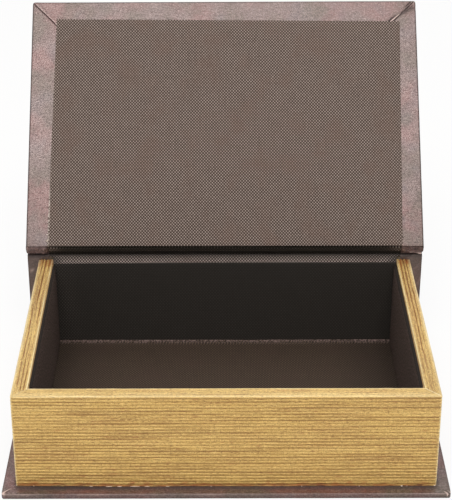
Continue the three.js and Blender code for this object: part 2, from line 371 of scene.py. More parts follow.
def gildFinish():
    look = Look(bpy.data.materials.new("page_edge"))
    along = look.add("ShaderNodeTexCoord", output=2)     # lengthwise and across the ridges
    groove, ridgeHighlight, top, wearAndHighlight, stain, paintedSheen, far = look.painted(*pageMasks)
    dash, layer, thread, fibre, cloud, blot, grit = (
        look.streaks(along, (lengthwise, across, 1), detail)
        for lengthwise, across, detail in (
            (560, 1600, 2), (12, 250, 2), (60, 1500, 2), (150, 2600, 2),
            (26, 90, 3), (140, 560, 2), (1500, 1900, 2),
        )
    )
    tone = look.layered(gildTones["ground"], gildTones, [
        (top * 0.9, "rim"),
        # painted sheen on the rims' tops
        (paintedSheen * cloud.between(0.3, 0.5), "paintedSheen"),
        (cloud.between(0.45, 0.7) * 0.3, "brown"),
        (layer.between(0.5, 0.68) * 0.3, "light"),
        (layer.between(0.5, 0.34) * 0.34, "deep"),
        (thread.between(0.5, 0.72) * 0.55, "light"),
        (thread.between(0.48, 0.28) * 0.45, "deep"),
        (dash.between(0.52, 0.72) * 0.75, "light"),
        (dash.between(0.48, 0.28) * 0.8, "deep"),
        # painted highlight on the ridges' crests
        (ridgeHighlight * 0.32, "light"),
    ])
    hollow = look.mixed(top * 0.6, gildTones["deep"], gildTones["brown"])
    tone = look.mixed(groove.between(0.2, 1.0) * (0.64 + top * 0.26), tone, hollow)
    tone = look.layered(tone, gildTones, [
        (fibre.between(0.5, 0.3) * 0.4, "deep"),
        (grit.between(0.54, 0.3) * (0.5 - top * 0.1), "deep"),
        (grit.between(0.54, 0.72) * 0.3, "light"),
        (blot.between(0.6, 0.74) * 0.45, "brown"),
        (far * grit.between(0.54, 0.42) * 0.5, "foot"),
        (stain.between(0.02, 0.5) * blot.between(0.3, 0.6) * 0.8, "orange"),
        (stain.between(0.1, 0.7) * fibre.between(0.55, 0.35) * 0.9, "foot"),
        # rubbed wear and painted highlight on the rims' edges, lip and corners
        (wearAndHighlight * 0.9, "pale"),
        (stain.between(0.86, 1.0) * (0.3 + dash * 0.9), "foot"),
    ])
    sockets = {"Base Color": tone, "Roughness": 0.38 + dash * 0.22, "Metallic": 0.1}
    return look.surface(sockets, dash * 0.5 + thread * 0.5, 0.4, 0.14)


weave = {
    "across": 0.9075,     # from one thread to the next, in millimetres
    "along": 1.0,
    "skew": 0.5,          # degrees
}


def clothFinish(name, tones):
    look = Look(bpy.data.materials.new(name))
    threads = look.add("ShaderNodeTexCoord", output=2)   # counts threads both ways
    split = look.add("ShaderNodeSeparateXYZ", {}, {0: threads})
    other = Channel(look, split.socket.node.outputs[1])
    crossing = (split * math.pi).cosine() * (other * math.pi).cosine()
    slubWarp = look.streaks(threads, (1.0, 0.07, 1), 1)
    slubWeft = look.streaks(threads, (0.07, 1.0, 1), 1)
    cloud = look.streaks(threads, (0.05, 0.05, 1), 3)
    tuft = look.noise(threads, 0.9, 2).between(0.44, 0.62)
    frayAndPaintedLight, shaded = look.painted("frayAndPaintedLight", "shaded")
    knot = crossing.between(-0.2, 0.8) * (0.4 + slubWarp * 0.6 + slubWeft * 0.6)
    tone = look.layered(tones["dark"], tones, [
        (knot, "pale"),
        (cloud.between(0.45, 0.7) * 0.3, "cast"),
        (shaded * (1 - knot * 0.04), "shade"),
        # pale frayed threads, and painted light where the cards and the floor's rolled-up edge
        # carry this mask
        (frayAndPaintedLight * tuft, "frayAndPaintedLight"),
    ])
    rough = 0.8 - knot * 0.2 + shaded * 0.25
    sockets = {"Base Color": tone, "Roughness": rough, "Specular IOR Level": 0.2}
    return look.surface(sockets, crossing.size() * (0.7 + slubWeft * 0.6), 0.6, 0.25)


lidClothTones = {
    "dark": paint(65, 53, 46),
    "pale": paint(162, 147, 139),
    "cast": paint(104, 82, 72),
    "shade": paint(48, 44, 37),
    "frayAndPaintedLight": paint(226, 214, 204),
}

backClothTones = {
    "dark": paint(48, 40, 36),
    "pale": paint(179, 166, 159),
    "cast": paint(84, 67, 60),
    "shade": paint(46, 43, 39.5),
    "frayAndPaintedLight": paint(200, 186, 174),
}

innerClothTones = {
    "dark": paint(47, 39, 33),
    "pale": paint(98, 81, 66),
    "cast": paint(70, 54, 48),
    "shade": paint(30, 26, 24),
    # also the pale tone of the painted light on the cards and the floor's rolled-up edge
    "frayAndPaintedLight": paint(118, 100, 96),
}


def boardFinish(name, ground, fleck):
    look = Look(bpy.data.materials.new(name))
    where = objectSpace(look)
    fibre = look.streaks(where, (300, 900, 900), 4)
    grit = look.noise(where, 1400, 2)
    tone = look.mixed(fibre.between(0.4, 0.7), ground, fleck)
    sockets = {"Base Color": tone, "Roughness": 0.85 + grit * 0.1}
    return look.surface(sockets, fibre + grit, 0.4, 0.1)


def glueFinish(name, clear, cloudy):
    look = Look(bpy.data.materials.new(name))
    cloud = look.noise(objectSpace(look), 1800, 2)
    sockets = {"Base Color": look.mixed(cloud, clear, cloudy), "Roughness": 0.22 + cloud * 0.2}
    return look.surface(sockets, cloud, 0.2, 0.05)


finishes = {
    "leather": leatherFinish(),
    "glue": glueFinish("glue", paint(240, 228, 214), paint(212, 184, 158)),
    "gild": gildFinish(),
    "lidCloth": clothFinish("lid_cloth", lidClothTones),
    "backCloth": clothFinish("back_cloth", backClothTones),
    "innerCloth": clothFinish("inner_cloth", innerClothTones),
    "coverBoard": boardFinish("cover_board", paint(150, 140, 124), paint(118, 108, 94)),
    "wallBoard": boardFinish("wall_board", paint(186, 152, 108), paint(150, 116, 76)),
}
print("finishes made")


def bevelEdges(bm, edges, width, segments):
    bmesh.ops.bevel(
        bm, geom=edges, offset=width, offset_type="OFFSET", segments=segments,
        profile=0.5, affect="EDGES", material=-1, clamp_overlap=True,
    )


def cutFaces(bm, faces, point, normal):
    edges = {edge for face in faces for edge in face.edges}
    verts = {vert for face in faces for vert in face.verts}
    parts = list(faces) + list(edges) + list(verts)
    bmesh.ops.bisect_plane(bm, geom=parts, dist=1e-5, plane_co=point, plane_no=normal)


def cutAcross(bm, axis, places):
    # cuts the whole piece at each of the places along an axis
    normal = Vector([float(axis == each) for each in range(3)])
    for at in places:
        cutFaces(bm, bm.faces[:], normal * at, normal)


def masksOn(bm, *names):
    return [bm.verts.layers.float.new(name) for name in names]


def gridPoints(bm, columns, rows):
    # a flat sheet of quads whose vertices know their column and row
    bmesh.ops.create_grid(bm, x_segments=columns - 1, y_segments=rows - 1, size=1)
    column, row = bm.verts.layers.int.new("column"), bm.verts.layers.int.new("row")
    for vert in bm.verts:
        vert[column] = round((vert.co.x + 1) / 2 * (columns - 1))
        vert[row] = round((vert.co.y + 1) / 2 * (rows - 1))
    return column, row


def closeBehind(bm, innerOf, flat=False):
    # gives a sheet its back, which becomes a few big faces where it is flat
    made = bmesh.ops.extrude_face_region(bm, geom=bm.faces[:], use_keep_orig=True)["geom"]
    back = {part for part in made if isinstance(part, bmesh.types.BMVert)}
    for vert in back:
        vert.co = innerOf(vert)
    if flat:
        bmesh.ops.remove_doubles(bm, verts=list(back), dist=1e-4)
        back = {vert for vert in back if vert.is_valid}
        bm.normal_update()
        flats = {}
        for face in bm.faces:
            if back.issuperset(face.verts):
                flats.setdefault(tuple(round(part) for part in face.normal), []).append(face)
        for faces in flats.values():
            bmesh.ops.dissolve_faces(bm, faces=faces, use_verts=True)
    bmesh.ops.recalc_face_normals(bm, faces=bm.faces[:])


def threadMap(bm, place):
    # lays the weave's threads on the faces: place gives millimetres both ways for a vertex and face
    layer = bm.loops.layers.uv.new("threads")
    turn = math.radians(weave["skew"])
    for face in bm.faces:
        for loop in face.loops:
            across, along = place(loop.vert, face)
            turnedAcross = across * math.cos(turn) - along * math.sin(turn)
            turnedAlong = across * math.sin(turn) + along * math.cos(turn)
            loop[layer].uv = (turnedAcross / weave["across"], turnedAlong / weave["along"])


def finishPiece(name, bm, place, finish, body, nodes, crease=35):
    bmesh.ops.transform(bm, matrix=Matrix.Scale(mm, 4) @ place, verts=bm.verts)
    mesh = bpy.data.meshes.new(name)
    bm.to_mesh(mesh)
    bm.free()
    mesh.shade_smooth()
    mesh.set_sharp_from_angle(angle=math.radians(crease))
    mesh.materials.append(finishes[finish])
    piece = bpy.data.objects.new(name, mesh)
    scene.collection.objects.link(piece)
    if body:
        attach(piece, body)
    if nodes:
        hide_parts(*nodes)
    print("made", name, "with", len(mesh.polygons), "faces")
    return piece


def wander(*place):
    return noise.noise(Vector(place))


def bump(value, centre, width):
    return math.exp(-(((value - centre) / width) ** 2))


def bumps(value, *each):
    # each is a size, a centre and a width
    return sum(size * bump(value, centre, width) for size, centre, width in each)


def ramp(value, low, high):
    share = min(max((value - low) / (high - low), 0), 1)
    return share * share * (3 - 2 * share)


wrap = {
    "leather": 0.4,
    "turnIn": 16,
    "spineTurnIn": 13.2,
    "edgeRound": 0.5,
    "cornerRound": 1.3,
    "jointRound": 0.3,
    "spineRound": 1.0,
    "jointGap": 0.6,      # from the fold to where this piece begins
    "cell": 2.5,
    "waver": 0.045,       # how far the surface wanders
    "seamReach": 24,
    "seamWidth": 6,
    "footShade": 0.93,    # how much painted shadow lies on the border beside the page block
    "footShadeLeft": 0.35,  # and how much more painted shadow its left end has
    "footBulge": 0.5,     # how far the base's leather bellies out at its lower front edge
    "lidSkew": 0.85,      # how much further the lid's front edge reaches at its right end
    "lidOverhang": 0.45,  # how far the lid's leather comes down over its joint edge
    "rings": (0.25, 0.6, 1.0),  # extra lines round the edge, for its painted shade
    # extra lines beside each corner's seam, on either side of it
    "seamLines": (0.1, 0.3, 0.55, 0.85, 1.2, 1.6, 2.4, 4.2),
    "baseEdges": (0.45, 0.4),  # painted shade on the edges, and the painted highlight along the front edge's inside
    "spineEdges": (0.6, 0),
    "lidEdges": (1.0, 0),
}


# Each fold at a corner gives how high the leather stands and its painted highlight and shade there,
# from the distance off the diagonal, positive towards the front edge, and the way along it.

def plainMitre(off, along):
    # one folded edge laps over the other, with a painted highlight on the lap and painted shade in
    # the groove beside it
    reach = ramp(along, 0.5, 2.5) * ramp(-along, -24, -21.5)
    lap = 0.2 * ramp(off, -0.15, 0.1) * ramp(-off, -3.5, -0.4)
    height = lap - 0.25 * bump(off, -0.3, 0.3)
    return height * reach, bumps(off, (0.5, 0.45, 0.3), (-1.3, -0.25, 0.3)) * reach


def pleatedMitre(off, along):
    # gathered leather: two creases at the corner, then a wide flattened facet, then a sharp fold
    near = ramp(-along, -9.0, -7.0) * ramp(along, 0.8, 1.8)
    far = ramp(along, 12.5, 14) * ramp(-along, -23.5, -22.2)
    fold = off - 1.1 - 0.05 * (along - 13)
    lower = -3.6 + 0.444 * (along - 5.3)
    facet = ramp(along, 2.4, 4.6) * ramp(-along, -14.2, -12.2)
    facet *= ramp(off, lower - 0.4, lower + 0.5) * ramp(-off, -1.5, -1.0)
    folded = wander(off * 0.7, along * 0.5, 3.3)
    within = ramp(along - abs(off), 0.4, 1.6)
    height = near * bumps(off, (0.25, 1.0, 0.35), (0.3, -0.2, 0.4))
    height -= near * within * bumps(off, (0.3, 1.65, 0.28), (0.3, 0.45, 0.28))
    height += far * bumps(fold, (0.5, 0.0, 0.36), (-0.2, 0.85, 0.3), (-0.2, -0.85, 0.3))
    height -= facet * (0.2 + 0.25 * folded)
    # painted light and shade: pale and dark lines at the creases, painted shade on the facet, and a
    # painted highlight on the sharp fold with painted shade either side
    tone = near * bumps(off, (0.6, 1.05, 0.32), (0.6, -0.25, 0.35))
    tone -= near * bumps(off, (1.5, 1.65, 0.3), (1.5, 0.45, 0.3))
    tone += far * bumps(fold, (1.6, 0.0, 0.28), (-1.6, 0.8, 0.3), (-1.5, -0.8, 0.3))
    tone -= facet * (0.66 - 0.4 * folded)
    return height, tone


def smallMitre(off, along):
    # a shallow lap with its painted highlight and shade, and painted highlights near the corner
    height, tone = plainMitre(-off, along)
    short = ramp(-along, -8, -5)
    pale = 1.2 * bump(off, 0, 0.9) * bump(along, 1.2, 1.2) + 0.7 * bump(off, -0.5, 0.35) * short
    return height * 0.6 * short, 0.5 * tone * short + pale


def hookMitre(off, along):
    # a short pleat that crosses the front edge just beside the corner, with a painted highlight and
    # painted shade along it and a painted glint near the corner
    reach = ramp(-along, -5.0, -3.4)
    height = bumps(off, (0.3, 1.2, 0.35), (-0.15, 0.5, 0.3)) * reach
    tone = bumps(off, (1.2, 1.2, 0.3), (-1.2, 0.55, 0.35)) * reach
    return height, tone + 0.9 * bump(off, -0.6, 0.5) * bump(along, 1.0, 0.7)


def boardShell(front, back, jointAtFront):
    # leather round a board, outside up at height 0, open inside where the leather stops
    bm = bmesh.new()
    thick, half = book["coverThick"], book["width"] / 2
    bmesh.ops.create_cube(bm, size=1)
    bmesh.ops.scale(bm, verts=bm.verts, vec=(book["width"], back - front, thick))
    bmesh.ops.translate(bm, verts=bm.verts, vec=(0, (front + back) / 2, -thick / 2))
    if not jointAtFront:
        uprights = [
            edge for edge in bm.edges
            if edge.verts[0].co.xy == edge.verts[1].co.xy
            and edge.verts[0].co.y < (front + back) / 2
        ]
        bevelEdges(bm, uprights, wrap["cornerRound"], 5)
    jointEdges, outerEdges = [], []
    for edge in bm.edges:
        flat = sorted(abs(face.normal.z) for face in edge.link_faces)
        if flat[0] < 0.1 and flat[1] > 0.9:
            ends = [vert.co.y for vert in edge.verts]
            atJoint = (back, front) if jointAtFront else (back,)
            if not any(all(abs(y - at) < 1e-4 for y in ends) for at in atJoint):
                outerEdges.append(edge)
            elif edge.verts[0].co.z < -thick / 2:
                jointEdges.append(edge)
    bevelEdges(bm, jointEdges, wrap["spineRound" if jointAtFront else "jointRound"], 4)
    bevelEdges(bm, [edge for edge in outerEdges if edge.is_valid], wrap["edgeRound"], 4)
    opening = half - wrap["spineTurnIn" if jointAtFront else "turnIn"]
    windowFront = front - 1 if jointAtFront else front + wrap["turnIn"]
    cutAcross(bm, 0, (-opening, opening))
    cutAcross(bm, 1, [windowFront])
    cutAcross(bm, 2, [-wrap["leather"]])
    bare = []
    for face in bm.faces:
        x, y, z = face.calc_center_median()
        if abs(x) < opening and y > windowFront and z < -wrap["leather"] - 1e-4:
            bare.append(face)
    bmesh.ops.delete(bm, geom=bare, context="FACES")
    bmesh.ops.recalc_face_normals(bm, faces=bm.faces[:])
    bmesh.ops.solidify(bm, geom=bm.faces[:], thickness=wrap["leather"])
    cell = wrap["cell"]
    cutAcross(bm, 0, [x * cell - half for x in range(1, math.ceil(2 * half / cell))])
    cutAcross(bm, 1, [front + y * cell for y in range(1, math.ceil((back - front) / cell))])
    for inset in wrap["rings"]:
        cutAcross(bm, 0, (inset - half, half - inset))
        if not jointAtFront:
            cutAcross(bm, 1, [front + inset])
    return bm


def cutSeam(bm, side, front):
    # extra lines along the diagonal of a front corner
    half, reach = book["width"] / 2, wrap["seamReach"]
    for off in [-off for off in reversed(wrap["seamLines"])] + list(wrap["seamLines"]):
        near = []
        for face in bm.faces:
            x, y, z = face.calc_center_median()
            inReach = abs(x - side * half) < reach and y < front + reach
            if inReach and z < -book["coverThick"] / 2:
                near.append(face)
        cutFaces(bm, near, (side * (half - off * math.sqrt(2)), front, 0), (side, 1, 0))


def wrappedBoard(length, mitres, edges, jointAtFront=False, overhang=0.0):
    # A board in its leather, its joint edge at 0 and its front at -length. mitres gives the fold
    # at the left and at the right front corner.
    thick, half = book["coverThick"], book["width"] / 2
    # edges gives the painted shade on the edges and the painted highlight along the base's front
    # edge
    paintedShadeEdge, paintedFrontHighlight = edges
    back = -wrap["jointGap"]
    front = -length + (wrap["jointGap"] if jointAtFront else 0)
    bm = boardShell(front, back, jointAtFront)
    corners = list(zip((-1, 1), mitres))
    for side, _ in corners:
        cutSeam(bm, side, front)
    bm.normal_update()
    paintedLightAndMottle, edgeShade, handled, paintedReflection = masksOn(bm, "paintedLightAndMottle", "edge", "handled", "paintedReflection")
    moves = []
    for vert in bm.verts:
        x, y, z = vert.co
        inside = z < -thick / 2
        fromSide = half - abs(x)
        fromFront = 99 if jointAtFront else y - front
        outward = z > -0.02 or z < -thick + 0.02 or fromSide < 0.02 or fromFront < 0.02
        atRim = z > -0.39 or z < -thick + 0.39
        rounded = min(fromSide, fromFront) < wrap["edgeRound"] and atRim
        # painted shade along the leather's outer edges
        vert[edgeShade] = paintedShadeEdge * ramp(-min(fromSide, fromFront), -0.9, -0.25)
        if inside:
            # painted highlight along the base's front edge, patchy along its length
            patchy = 0.7 + 0.8 * wander(x * 0.05, 0, 3)
            vert[paintedLightAndMottle] = paintedFrontHighlight * patchy * bump(fromFront, 0.15, 0.25)
        # painted shadow on the base's border beside the page block, deeper at its left end
        if paintedFrontHighlight and inside and fromSide > 6.5:
            leftEnd = ramp(x, 30, 75) * ramp(-x, -108, -100)
            shade = wrap["footShade"] + wrap["footShadeLeft"] * leftEnd
            vert[edgeShade] = max(vert[edgeShade], shade * ramp(fromFront, 2.6, 6.0))
        if jointAtFront:
            # painted reflection: the spine's leather is greyed all over
            vert[paintedReflection] = 1.0
            vert[paintedLightAndMottle] = 0.45 * wander(x * 0.3, y * 0.14, 9) + 0.35 * wander(x * 0.9, y * 0.45, 5)
            # painted shade on the spine's fold edges, which also hides their highlight
            atFold = ramp(max(y - back, front - y), -2.0, -0.8)
            vert[edgeShade] = max(vert[edgeShade], 0.8 * atFold)
            uneven = 0.5 * wander(x * 0.3, 5, 0) + 0.3 * wander(x * 0.9, 2, 0)
            vert.co.y += uneven * ramp(y, back - 2.0, back - 0.6) * ramp(-z, 0.6, 2.0)
        elif paintedFrontHighlight:
            vert.co.y -= wrap["footBulge"] * ramp(-fromFront, -0.8, -0.3) * ramp(z, -2.4, -0.4)
        else:
            vert[handled] = ramp(y, -80, 5)
            vert.co.y -= wrap["lidSkew"] * ramp(-fromFront, -40, 0) * (x + half) / book["width"]
        if y > back - 1.6 and not jointAtFront:
            vert.co.y += overhang * ramp(y, back - 1.6, back - 0.3) * ramp(-z, 1.4, 2.2)
        if not (outward or rounded) or y > back - 0.5:
            continue
        lift = wrap["waver"] * wander(x * 0.11, y * 0.11, z * 0.11)
        for side, fold in corners if inside else ():
            a, b = half - side * x, y - front
            off, along = (a - b) / math.sqrt(2), (a + b) / math.sqrt(2)
            if max(a, b) < wrap["seamReach"] and abs(off) < wrap["seamWidth"]:
                height, tone = fold(off, along)
                lift += height
                vert[paintedLightAndMottle] += tone
        moves.append((vert, vert.normal * lift))
    for vert, move in moves:
        vert.co += move
    bmesh.ops.dissolve_degenerate(bm, dist=1e-3, edges=bm.edges[:])
    return bm


def addLeathers():
    bm = wrappedBoard(book["coverLength"], (hookMitre, smallMitre), wrap["baseEdges"])
    finishPiece("base_cover", bm, basePlace, "leather", "box", ["base_leather"])
    spineLength = book["spineTop"] - book["spineFoot"] + 2 * book["spineMargin"]
    bm = wrappedBoard(spineLength, (), wrap["spineEdges"], True)
    finishPiece("spine_cover", bm, spinePlace, "leather", "box", ["spine_leather"])
    folds = (plainMitre, pleatedMitre)
    bm = wrappedBoard(book["coverLength"], folds, wrap["lidEdges"], False, wrap["lidOverhang"])
    finishPiece("lid_cover", bm, lidPlace, "leather", "lid", ["lid_leather"])


addLeathers()

# leather and cloth that run along the book and bend in one direction
joint = {
    "leather": 0.2,       # either side of the middle of the leather
    "doubled": -0.6,      # inside of the turned-in ends
    "turnIn": 107,        # where the turned-in ends begin, from the middle
    "endRound": 0.4,
    "clothOuter": -0.4,
    "clothInner": -0.8,
    "clothHalf": 106.8,
    "dip": 0.6,           # how far the leather is pressed in beside the board
    "dipFrom": 2.8,
    "dipTo": 6.4,
    "middle": 3.5,        # where the strip's two halves meet
    "step": 0.3,
    "crumple": 0.7,
    "fineEnds": 27,       # how many columns each crumpled end has, and how wide they are
    "fineStep": 0.45,
    "foldFrom": (110.2, 4.6),  # slanting fold at the right end: across, and from the spine's fold
    "foldTo": (119.6, 0.7),
    "flare": 0.35,        # how far the ends stand out beside the lid
    "fill": 0.9,          # how far its left end is padded out under the lid
    "clothShade": 0.88,
    "wearAndLight": 0.85,
    "bendAtSpine": 0.63,  # how far from its fold line each bend reaches
    "bendAtLid": 0.58,
    "bendAtBase": 1.0,
}


def bentPath(start, heading, bends, step=joint["step"]):
    # Points in Y and Z with their heading. bends holds a length and how far it turns, in degrees.
    y, z = start
    heading = math.radians(heading)
    points = [(y, z, heading, 0.0)]
    gone = 0.0
    for length, turn in bends:
        parts = max(1, math.ceil(length / step - 1e-6), math.ceil(abs(turn) / 12))
        for _ in range(parts):
            heading += math.radians(turn) / parts / 2
            y += math.cos(heading) * length / parts
            z += math.sin(heading) * length / parts
            heading += math.radians(turn) / parts / 2
            gone += length / parts
            points.append((y, z, heading, gone))
    return points


def spread(half, fine, edges=(), ends=()):
    # places across the book, close together where something happens
    cell = wrap["cell"]
    places = {-half, half}
    reach = min(ends, default=half)
    for x in range(int(-half / cell), int(half / cell) + 1):
        if abs(x * cell) < reach - 0.5:
            places.add(x * cell)
    for at in (*edges, *ends):
        if at < half - fine:
            places.update((-at, at))
    for i in range(1, 7):
        inset = fine * (1 - math.cos(math.pi * i / 12))
        places.update((inset - half, half - inset))
    return sorted(places)


def band(path, columns, outerOf, innerOf):
    # a sheet along the book: both offsets are to the right of the heading
    bm = bmesh.new()
    column, row = gridPoints(bm, len(columns), len(path))

    def placed(vert, offsetOf):
        x = columns[vert[column]]
        y, z, heading, gone = path[vert[row]]
        offset = offsetOf(x, gone)
        return Vector((x, y + math.sin(heading) * offset, z - math.cos(heading) * offset))

    for vert in bm.verts:
        vert.co = placed(vert, outerOf)
    closeBehind(bm, lambda vert: placed(vert, innerOf))
    bmesh.ops.remove_doubles(bm, verts=bm.verts, dist=1e-4)
    return bm, column, row


def dipAt(gone):
    share = (gone - joint["dipFrom"]) / (joint["dipTo"] - joint["dipFrom"])
    return joint["dip"] * math.sin(math.pi * min(max(share, 0), 1)) ** 2


def crease(x, gone):
    folds = wander(x * 0.6, gone * 0.55, 9) + 0.6 * wander(x * 1.5, gone * 1.4, 2)
    return abs(folds) * ramp(abs(x), joint["turnIn"], joint["turnIn"] + 1.5)


def onFold(x, way):
    # the share of the way along the slanting fold, and how far off it, towards the spine
    start, end = Vector(joint["foldFrom"]), Vector(joint["foldTo"])
    here = Vector((x, way)) - start
    run = (end - start).normalized()
    return here.dot(run) / (end - start).length, here.cross(run)


def foldHeight(x, way):
    share, off = onFold(x, way)
    return bump(off, 0, 0.45) * ramp(share, 0, 0.25) * ramp(-share, -1.06, -0.96)


# a painted highlight on the slanting fold's crest, strongest where it nears the book's end, and
# painted shade beside it on the spine's side
def foldTone(x, way):
    share, off = onFold(x, way)
    pale = bump(off, 0.1, 0.4) * (0.5 * ramp(share, 0.1, 0.3) + 1.6 * ramp(share, 0.6, 0.9))
    pale *= ramp(-share, -1.03, -0.97)
    return pale - 1.6 * bump(off, 0.9, 0.45) * ramp(share, 0.0, 0.3) * ramp(-share, -1.1, -0.9)


def jointLeather(path, fromFold, underLid=False):
    # fromFold turns the way gone along the path into the way gone from the spine's fold
    half, inset, turnIn = book["width"] / 2, joint["endRound"], joint["turnIn"]
    middle = (joint["leather"] + joint["doubled"]) / 2

    def rounded(x):
        beyond = min(max(abs(x) - half + inset, 0) / inset, 1)
        return math.sqrt(1 - beyond * beyond)

    def outerOf(x, gone):
        uneven = 0.05 * wander(x * 0.12, gone * 0.3, 4)
        return -dipAt(fromFold(gone)) + middle + (joint["leather"] - middle + uneven) * rounded(x)

    def innerOf(x, gone):
        way = fromFold(gone)
        if abs(x) < turnIn:
            return -dipAt(way) - joint["leather"]
        lump = joint["crumple"] * crease(x, gone) + 0.4 * wander(x * 0.22, gone * 0.25, 1)
        if underLid:
            lump += 1.2 * foldHeight(x, way)
            lump += joint["fill"] * ramp(-x, turnIn, turnIn + 2) * ramp(way, 1.5, 4)
        return -dipAt(way) + middle + (joint["doubled"] - middle - lump) * rounded(x)

    fineEnds = [turnIn + joint["fineStep"] * (i + 1) for i in range(joint["fineEnds"])]
    columns = spread(half, inset, (turnIn - 0.01, turnIn), fineEnds)
    bm, column, row = band(path, columns, outerOf, innerOf)
    paintedLightAndMottle, edge, wearAndLight = masksOn(bm, "paintedLightAndMottle", "edge", "wearAndLight")
    for vert in bm.verts:
        x, gone = columns[vert[column]], path[vert[row]][3]
        way = fromFold(gone)
        # painted shade at the strip's two ends
        vert[edge] = ramp(abs(x), half - 0.9, half - 0.2)
        vert[wearAndLight] = joint["wearAndLight"] * (0.8 + 0.5 * wander(x * 0.3, gone * 0.4, 6))
        # random mottling, a painted highlight on the crumpled ends' crests, and under the lid the
        # slanting fold's painted highlight and shade
        mottle = wander(x * 0.55, way * 0.4, 3) * ramp(abs(x), 100, turnIn)
        tone = 0.7 * max(mottle - 0.12, 0) - 1.3 * max(-mottle - 0.08, 0)
        vert[paintedLightAndMottle] = tone + 0.4 * ramp(crease(x, gone), 0.5, 0.8)
        if underLid:
            vert[paintedLightAndMottle] += foldTone(x, way)
            outward = joint["flare"] * ramp(way, 0.6, 1.6) * ramp(abs(x), 112, half)
            vert.co.x += math.copysign(outward, x)
    return bm


def jointCloth(path, fromFold):
    def offset(side):
        return lambda x, gone: -dipAt(fromFold(gone)) + side
    columns = spread(joint["clothHalf"], 0.3)
    outerOf, innerOf = offset(joint["clothInner"]), offset(joint["clothOuter"])
    bm, column, row = band(path, columns, outerOf, innerOf)
    (shaded,) = masksOn(bm, "shaded")
    for vert in bm.verts:
        atEnd = ramp(abs(columns[vert[column]]), 97, 105)
        atEnd *= ramp(fromFold(path[vert[row]][3]), 3.5, 6.5)
        vert[shaded] = joint["clothShade"] * (1 - 0.7 * atEnd)
    threadMap(bm, lambda vert, face: (vert.co.x, fromFold(path[vert[row]][3])))
    return bm


def addJointHalf(half, path, fromFold):
    bm = jointLeather(path, fromFold, True)
    leather = finishPiece(
        "hinge_leather_" + half, bm, unmoved, "leather", None, ["hinge_leather"]
    )
    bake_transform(leather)
    bm = jointCloth(path, fromFold)
    lining = finishPiece(
        "hinge_lining_" + half, bm, unmoved, "lidCloth", None, ["hinge_lining"]
    )
    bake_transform(lining)


def addJoints():
    def heading(degrees):
        return Vector((0, math.cos(math.radians(degrees)), math.sin(math.radians(degrees))))
    atSpine, atLid, atBase = joint["bendAtSpine"], joint["bendAtLid"], joint["bendAtBase"]
    half = joint["middle"]
    upright = 90
    strip = 180 - book["jointTurn"]
    upToBend = book["foldHeight"] - book["spineTop"] - atSpine
    bendA, bendB = math.radians(strip - upright), math.radians(book["lidTurn"])
    lengthA = atSpine / math.tan(bendA / 2) * bendA
    lengthB = atLid / math.tan(bendB / 2) * bendB
    along, lidWay = heading(strip), heading(strip - book["lidTurn"])
    lower = bentPath(
        (book["spineFold"], book["spineTop"]), upright,
        [(upToBend, 0), (lengthA, strip - upright), (half - atSpine, 0)],
    )
    addJointHalf(
        "lower", lower, lambda gone: gone - upToBend - lengthA + atSpine,
    )
    middle = spineLine + along * half
    toBend = book["jointSpan"] - half - atLid
    upper = bentPath(
        (middle.y, middle.z), strip,
        [(toBend, 0), (lengthB, -book["lidTurn"]), (wrap["jointGap"] - atLid, 0)],
    )
    addJointHalf(
        "upper", upper, lambda gone: half + gone,
    )
    start, glueLine = book["coverFold"] - wrap["jointGap"], book["glueLine"]
    base = bentPath(
        (start, glueLine), 0,
        [
            (book["spineFold"] - start - atBase, 0), (atBase * math.pi / 2, upright),
            (book["spineFoot"] - glueLine - atBase, 0),
        ],
    )
    bm = jointLeather(base, lambda gone: book["jointSpan"] - wrap["jointGap"] - gone)
    finishPiece(
        "base_joint", bm, unmoved, "leather", "box", ["base_joint_leather"]
    )


addJoints()

# moulded strips with ridges like a block of pages
pages = {
    "foot": 2.86,
    "thick": 0.8,
    "topRound": 0.5,
    "lipRound": 0.3,
    "lipDrop": 0.35,
    "cornerRound": 0.7,
    "pitch": 1.91,
    "depth": 0.36,
    "row": 0.25,
    "column": 1.6,
    "endSteps": (0.12, 0.14, 0.16, 0.2, 0.3, 0.5, 0.8, 1.2),  # columns are close at the corners
    "topGroove": 57.35,
    "ragged": 0.9,        # how uneven the back ends are
    "frontLean": 1.6,     # how far the faces lean out at the foot
    "sideLean": 0.5,
    "leanLeft": 0.6,      # share of the front's lean that its left end has
    "spreadLeft": 0.55,   # how far the rims stand out, so that the sides stand nearly upright
    "spreadRight": 0.5,
    "frontRim": 0.6,      # how bold the rim's grooves are
    "sideRim": 1.4,
}


def pageProfile():
    # down the strip's outside, over its top and down its inner lip:
    # inset, height, how far it faces out and up, and the way gone
    rim, top, lip = book["rim"], pages["topRound"], pages["lipRound"]
    tall, wide = rim - top - pages["foot"], book["rimWidth"] - top - lip
    upwards, inwards = round(tall / pages["row"]), round(wide / pages["row"])
    rows = [(0, pages["foot"] + tall * i / upwards, 1, 0) for i in range(upwards)]
    for i in range(5):
        out, up = math.cos(math.pi / 2 * i / 4), math.sin(math.pi / 2 * i / 4)
        rows.append((top - top * out, rim - top + top * up, out, up))
    rows += [(top + wide * i / inwards, rim, 0, 1) for i in range(1, inwards)]
    for i in range(4):
        back, up = math.sin(math.pi / 2 * i / 3), math.cos(math.pi / 2 * i / 3)
        rows.append((top + wide + lip * back, rim - lip + lip * up, -back, up))
    rows.append((book["rimWidth"], rim - lip - pages["lipDrop"], -1, 0))
    gone, found = 0, []
    for before, (inset, height, out, up) in zip(rows[:1] + rows, rows):
        gone += math.hypot(inset - before[0], height - before[1])
        found.append((inset, height, out, up, gone))
    return found


def leanAt(height, which, way):
    share = min(max((book["rim"] - height) / (book["rim"] - pages["foot"]), 0), 1)
    if which == "frontLean":
        share *= pages["leanLeft"] + (1 - pages["leanLeft"]) * ramp(way, -110, -50)
    return pages[which] * share


